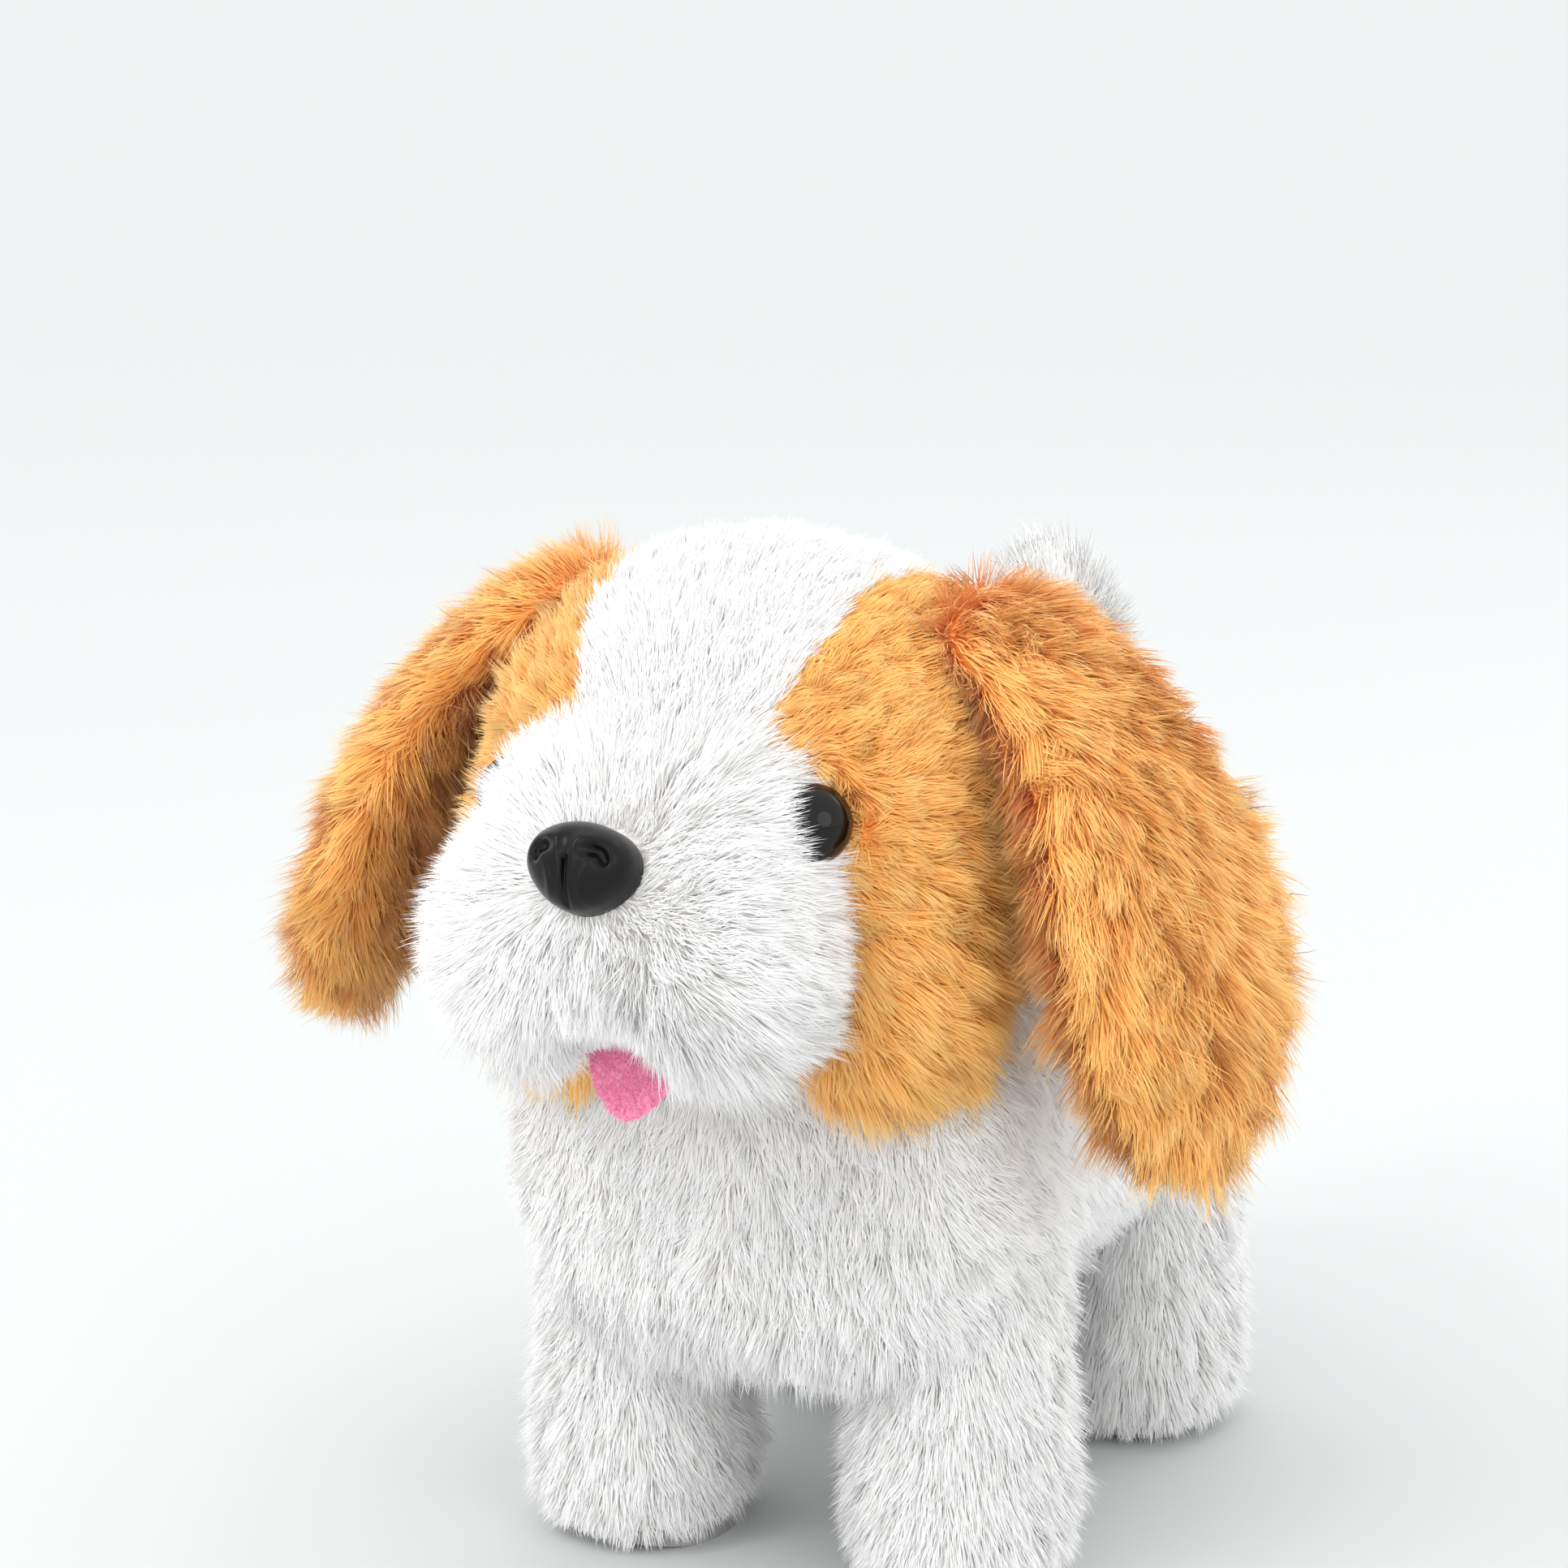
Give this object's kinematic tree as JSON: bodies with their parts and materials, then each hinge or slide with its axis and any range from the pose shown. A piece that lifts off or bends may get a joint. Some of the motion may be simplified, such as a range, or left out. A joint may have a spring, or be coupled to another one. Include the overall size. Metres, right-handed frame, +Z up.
{
  "type": "interactive plush pet",
  "caption": "Battery walking plush puppy: geared chassis, swinging legs, nodding head, flopping ears and wagging tail under white and orange plush.",
  "frame": {"origin": "centre of the footprint of the whole toy, on the surface that the soles stand on", "axes": "+Z up, the dog faces -Y, +X is its left side"},
  "size_m": [0.1652, 0.2074, 0.171],
  "materials": {
    "white_plush": "matte",
    "orange_plush": "matte",
    "felt_pink": "matte",
    "stuffing": "matte",
    "black_gloss": "gloss",
    "case_white": "satin",
    "grey_plastic": "satin",
    "nylon": "satin",
    "steel": "brushed",
    "board_green": "satin",
    "battery_skin": "gloss",
    "speaker_black": "satin",
    "washer": "satin"
  },
  "bodies": {
    "root": {"chassis_left": "case_white", "chassis_right": "case_white", "case_screws": "steel", "belly_bezel": "grey_plastic", "battery_tray": "case_white", "battery_cells": "battery_skin", "battery_contacts": "steel", "switch_housing": "speaker_black", "circuit_board": "board_green", "speaker": "speaker_black", "motor": "steel", "idler_shafts": "steel", "front_hip_axle": "steel", "rear_hip_axle": "steel", "hip_bushes": "nylon", "body_plush": "white_plush", "neck_post": "case_white"},
    "battery_door": {"battery_door": "grey_plastic", "door_screw": "steel"},
    "power_switch": {"power_switch_knob": "speaker_black"},
    "crankshaft": {"crank_gear": "nylon", "left_crank": "nylon", "right_crank": "nylon"},
    "idler_one": {"idler_gear_one": "nylon"},
    "idler_two": {"idler_gear_two": "nylon"},
    "motor_rotor": {"motor_pinion": "nylon"},
    "head": {"neck_pin": "steel", "head_frame": "case_white", "head_stuffing": "stuffing", "muzzle_stuffing": "stuffing", "head_blaze_panel": "white_plush", "left_cheek_panel": "orange_plush", "right_cheek_panel": "orange_plush", "muzzle_panel": "white_plush", "left_eye": "black_gloss", "right_eye": "black_gloss", "eye_washers": "washer", "nose": "black_gloss", "nose_washer": "washer", "tongue": "felt_pink", "ear_seams": "orange_plush"},
    "left_ear": {"left_ear": "orange_plush"},
    "right_ear": {"right_ear": "orange_plush"},
    "tail": {"tail_lever": "case_white", "tail_plush": "white_plush"},
    "left_front_leg": {"left_front_leg_frame": "case_white", "left_front_leg_sole": "grey_plastic", "left_front_leg_plush": "white_plush"},
    "left_rear_leg": {"left_rear_leg_frame": "case_white", "left_rear_leg_sole": "grey_plastic", "left_rear_leg_plush": "white_plush"},
    "left_link_rod": {"left_link_rod": "case_white"},
    "right_front_leg": {"right_front_leg_frame": "case_white", "right_front_leg_sole": "grey_plastic", "right_front_leg_plush": "white_plush"},
    "right_rear_leg": {"right_rear_leg_frame": "case_white", "right_rear_leg_sole": "grey_plastic", "right_rear_leg_plush": "white_plush"},
    "right_link_rod": {"right_link_rod": "case_white"}
  },
  "joints": [
    {"name": "left_front_leg_swing", "type": "hinge", "parent": "root", "child": "left_front_leg", "pos_m": [0.027, -0.02426, 0.062], "axis": [1, 0, 0], "range_deg": [-11, 11]},
    {"name": "left_rear_leg_swing", "type": "hinge", "parent": "root", "child": "left_rear_leg", "pos_m": [0.027, 0.05573, 0.062], "axis": [1, 0, 0], "range_deg": [-11, 11]},
    {"name": "left_link_rod_swing", "type": "hinge", "parent": "left_front_leg", "child": "left_link_rod", "pos_m": [0.03, -0.02426, 0.074], "axis": [1, 0, 0], "range_deg": [-11, 11]},
    {"name": "right_front_leg_swing", "type": "hinge", "parent": "root", "child": "right_front_leg", "pos_m": [-0.027, -0.02426, 0.062], "axis": [1, 0, 0], "range_deg": [-11, 11]},
    {"name": "right_rear_leg_swing", "type": "hinge", "parent": "root", "child": "right_rear_leg", "pos_m": [-0.027, 0.05573, 0.062], "axis": [1, 0, 0], "range_deg": [-11, 11]},
    {"name": "right_link_rod_swing", "type": "hinge", "parent": "right_front_leg", "child": "right_link_rod", "pos_m": [-0.03, -0.02426, 0.074], "axis": [1, 0, 0], "range_deg": [-11, 11]},
    {"name": "head_nod", "type": "hinge", "parent": "root", "child": "head", "pos_m": [0, -0.03626, 0.13], "axis": [1, 0, 0], "range_deg": [-8, 8]},
    {"name": "tail_wag", "type": "hinge", "parent": "root", "child": "tail", "pos_m": [0, 0.07373, 0.09], "axis": [0, 0, 1], "range_deg": [-17, 17]},
    {"name": "left_ear_flop", "type": "hinge", "parent": "head", "child": "left_ear", "pos_m": [0.033, -0.03327, 0.16], "axis": [0, -1, 0], "range_deg": [-4, 40], "stiffness_Nm_per_rad": 0.03},
    {"name": "right_ear_flop", "type": "hinge", "parent": "head", "child": "right_ear", "pos_m": [-0.033, -0.03327, 0.16], "axis": [0, 1, 0], "range_deg": [-4, 40], "stiffness_Nm_per_rad": 0.03},
    {"name": "crank_spin", "type": "hinge", "parent": "root", "child": "crankshaft", "pos_m": [0, 0.05573, 0.082], "axis": [1, 0, 0], "continuous": true},
    {"name": "idler_one_spin", "type": "hinge", "parent": "root", "child": "idler_one", "pos_m": [0, 0.04255, 0.0773], "axis": [1, 0, 0], "continuous": true},
    {"name": "idler_two_spin", "type": "hinge", "parent": "root", "child": "idler_two", "pos_m": [0, 0.02936, 0.082], "axis": [1, 0, 0], "continuous": true},
    {"name": "motor_spin", "type": "hinge", "parent": "root", "child": "motor_rotor", "pos_m": [0, 0.01617, 0.0773], "axis": [1, 0, 0], "continuous": true},
    {"name": "battery_door_lift_off", "type": "slide", "parent": "root", "child": "battery_door", "axis": [0, 0, -1], "range_m": [0, 0.012]},
    {"name": "power_switch_slide", "type": "slide", "parent": "root", "child": "power_switch", "axis": [0, 1, 0], "range_m": [0, 0.003]}
  ],
  "couplings": [
    {"joint": "left_rear_leg_swing", "follows": "left_front_leg_swing", "ratio": 1},
    {"joint": "left_link_rod_swing", "follows": "left_front_leg_swing", "ratio": -1},
    {"joint": "right_front_leg_swing", "follows": "left_front_leg_swing", "ratio": -1},
    {"joint": "right_rear_leg_swing", "follows": "left_front_leg_swing", "ratio": -1},
    {"joint": "right_link_rod_swing", "follows": "left_front_leg_swing", "ratio": 1},
    {"joint": "head_nod", "follows": "left_front_leg_swing", "ratio": 0.7},
    {"joint": "tail_wag", "follows": "left_front_leg_swing", "ratio": 1.5},
    {"joint": "idler_two_spin", "follows": "motor_spin", "ratio": -0.27778},
    {"joint": "idler_one_spin", "follows": "motor_spin", "ratio": 0.07716},
    {"joint": "crank_spin", "follows": "motor_spin", "ratio": -0.021433}
  ]
}
